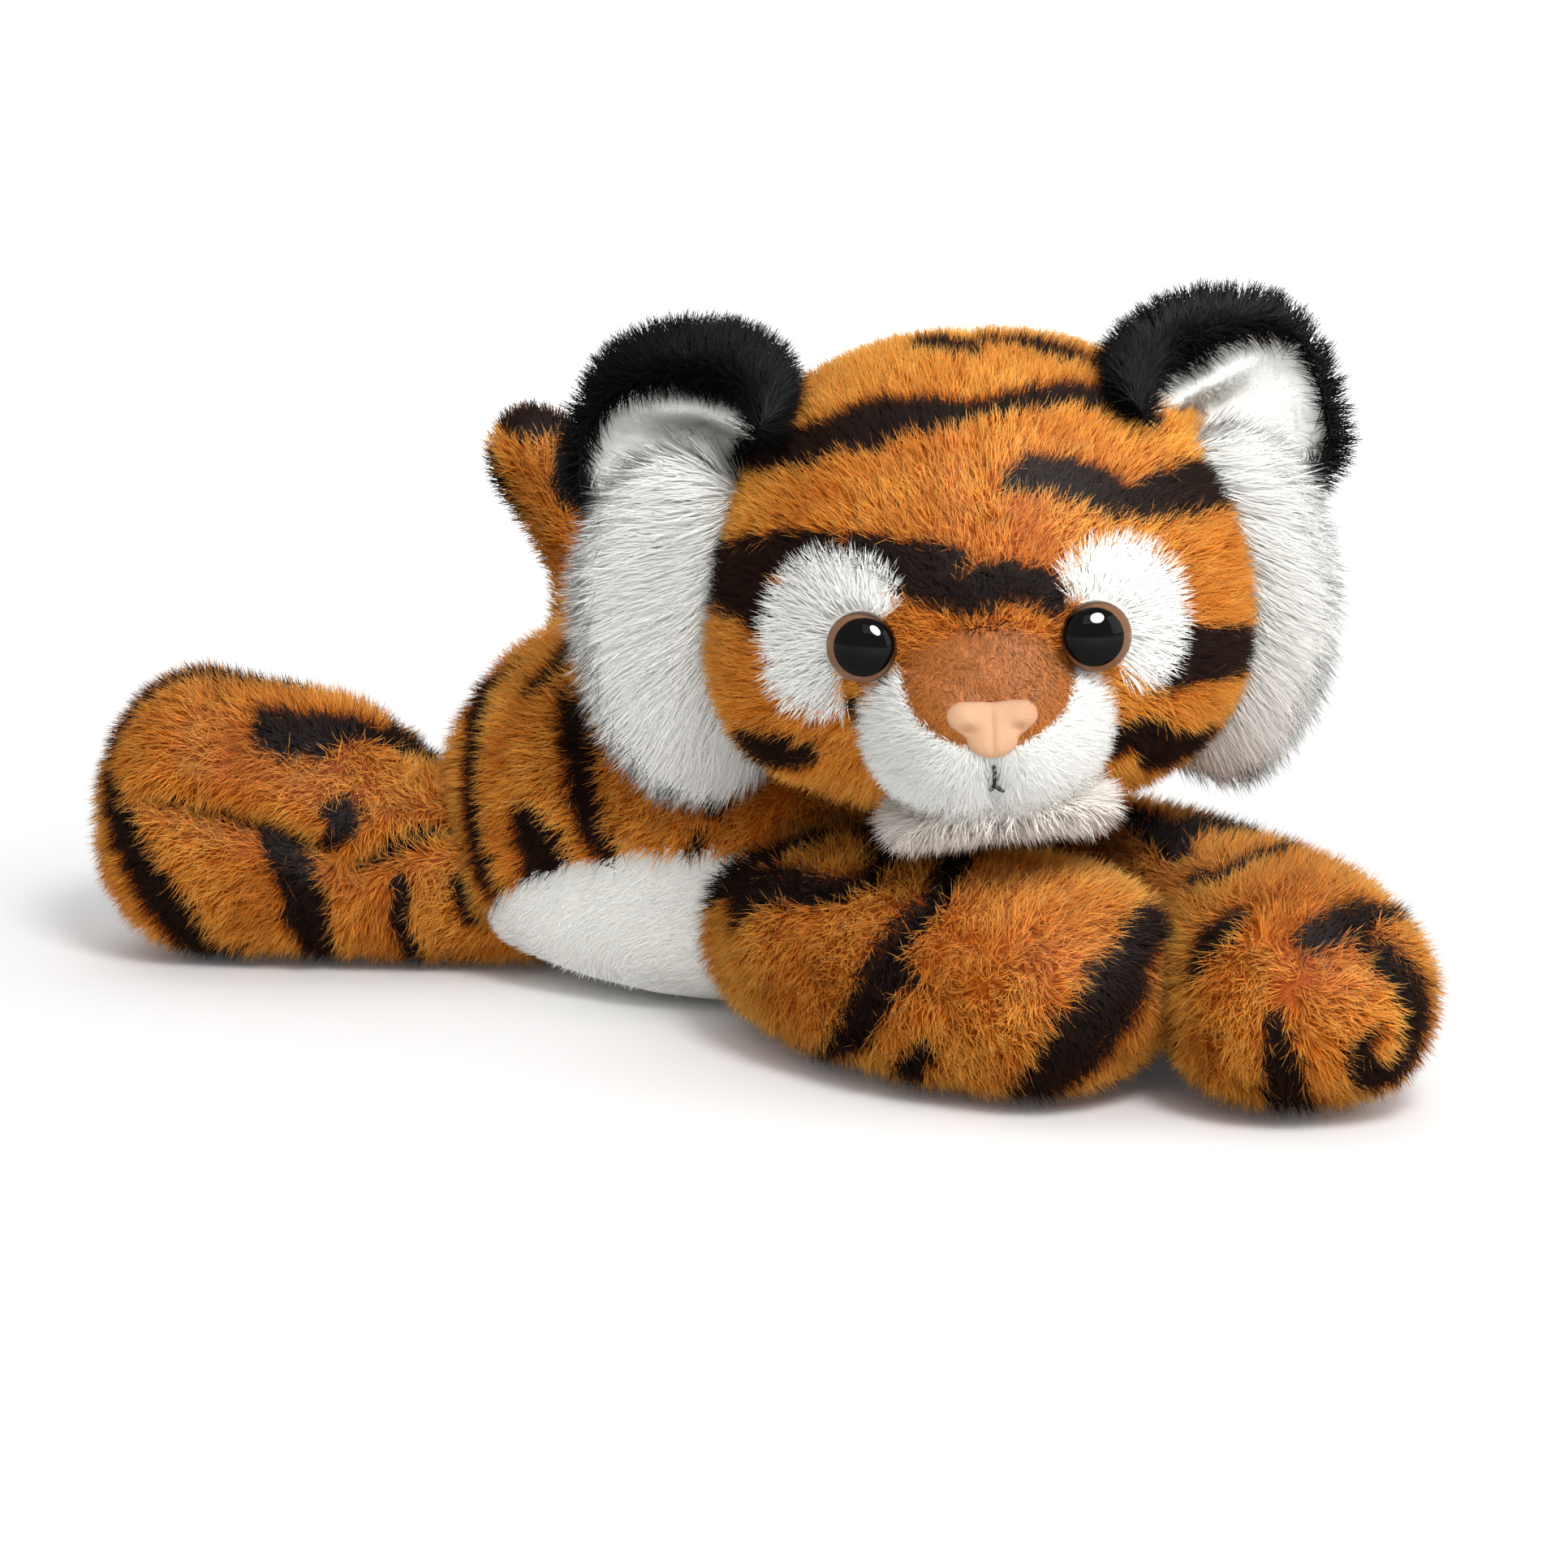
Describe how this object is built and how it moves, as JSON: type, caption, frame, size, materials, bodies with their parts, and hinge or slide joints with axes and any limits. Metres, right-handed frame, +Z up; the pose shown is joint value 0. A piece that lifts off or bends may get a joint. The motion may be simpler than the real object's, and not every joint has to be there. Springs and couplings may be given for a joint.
{
  "type": "plush tiger toy",
  "caption": "Floppy stuffed tiger lying on its belly, with a head that turns, limbs that swing, a leaning tail and folding ears, to cuddle or set on a bed.",
  "frame": {"origin": "on the floor under the middle of the shoulders-to-rump line, z = 0 is the floor that the toy lies on", "axes": "+Z up, -Y towards the head and front paws, -X the toy's right side"},
  "size_m": [0.221, 0.3006, 0.1569],
  "materials": {
    "orange_pile": "long pile, striped black-brown",
    "short_white_pile": "short pile",
    "long_white_pile": "long pile",
    "black_pile": "medium pile",
    "brown_pile": "short pile",
    "pink_velour": "velour",
    "black_thread": "embroidery thread",
    "brown_plastic": "polished",
    "black_plastic": "polished",
    "clear_plastic": "polished, clear",
    "white_plastic": "moulded",
    "stuffing": "loose fibre",
    "pellet_bag": "woven bag of plastic pellets"
  },
  "bodies": {
    "torso": {"back_skin": "orange_pile", "belly_panel": "short_white_pile", "torso_stuffing": "stuffing", "belly_pellet_bag": "pellet_bag"},
    "head": {"head_skin": "orange_pile", "head_stuffing": "stuffing", "eye_patch_right": "long_white_pile", "eye_iris_right": "brown_plastic", "eye_pupil_right": "black_plastic", "eye_dome_right": "clear_plastic", "eye_washer_right": "white_plastic", "cheek_ruff_right": "long_white_pile", "eye_patch_left": "long_white_pile", "eye_iris_left": "brown_plastic", "eye_pupil_left": "black_plastic", "eye_dome_left": "clear_plastic", "eye_washer_left": "white_plastic", "cheek_ruff_left": "long_white_pile", "muzzle": "short_white_pile", "nose_bridge": "brown_pile", "chin_tuft": "long_white_pile", "nose": "pink_velour", "mouth_stitch": "black_thread"},
    "arm_right": {"arm_right_skin": "orange_pile", "arm_right_stuffing": "stuffing", "arm_right_pellet_bag": "pellet_bag"},
    "arm_left": {"arm_left_skin": "orange_pile", "arm_left_stuffing": "stuffing", "arm_left_pellet_bag": "pellet_bag"},
    "leg_right": {"leg_right_skin": "orange_pile", "leg_right_stuffing": "stuffing", "leg_right_pellet_bag": "pellet_bag"},
    "leg_left": {"leg_left_skin": "orange_pile", "leg_left_stuffing": "stuffing", "leg_left_pellet_bag": "pellet_bag"},
    "tail": {"tail_skin": "orange_pile", "tail_stuffing": "stuffing"},
    "ear_right": {"ear_back_right": "black_pile", "ear_lining_right": "short_white_pile"},
    "ear_left": {"ear_back_left": "black_pile", "ear_lining_left": "short_white_pile"}
  },
  "joints": [
    {"name": "neck_turn", "type": "hinge", "parent": "torso", "child": "head", "pos_m": [-0.009, -0.082, 0.05], "axis": [0, 0, 1], "range_deg": [-10, 40], "stiffness_Nm_per_rad": 0.25},
    {"name": "arm_right_swing", "type": "hinge", "parent": "torso", "child": "arm_right", "pos_m": [-0.025, -0.051, 0.0225], "axis": [0, 0, -1], "range_deg": [0, 40]},
    {"name": "arm_left_swing", "type": "hinge", "parent": "torso", "child": "arm_left", "pos_m": [0.029, -0.051, 0.0225], "axis": [0, 0, 1], "range_deg": [0, 40]},
    {"name": "leg_right_swing", "type": "hinge", "parent": "torso", "child": "leg_right", "pos_m": [-0.035, 0.038, 0.0195], "axis": [0, 0, 1], "range_deg": [-15, 25]},
    {"name": "leg_left_swing", "type": "hinge", "parent": "torso", "child": "leg_left", "pos_m": [0.035, 0.038, 0.0195], "axis": [0, 0, -1], "range_deg": [-15, 25]},
    {"name": "tail_lean", "type": "hinge", "parent": "torso", "child": "tail", "pos_m": [0.005, 0.055, 0.038], "axis": [0, 1, 0], "range_deg": [-30, 30], "stiffness_Nm_per_rad": 0.04},
    {"name": "ear_right_fold", "type": "hinge", "parent": "head", "child": "ear_right", "pos_m": [-0.04713, -0.05036, 0.12045], "axis": [-0.4075, 0.3669, -0.8362], "range_deg": [-12, 12], "stiffness_Nm_per_rad": 0.03},
    {"name": "ear_left_fold", "type": "hinge", "parent": "head", "child": "ear_left", "pos_m": [0.0167, -0.10783, 0.12495], "axis": [0.4702, -0.4234, -0.7743], "range_deg": [-12, 12], "stiffness_Nm_per_rad": 0.03}
  ]
}
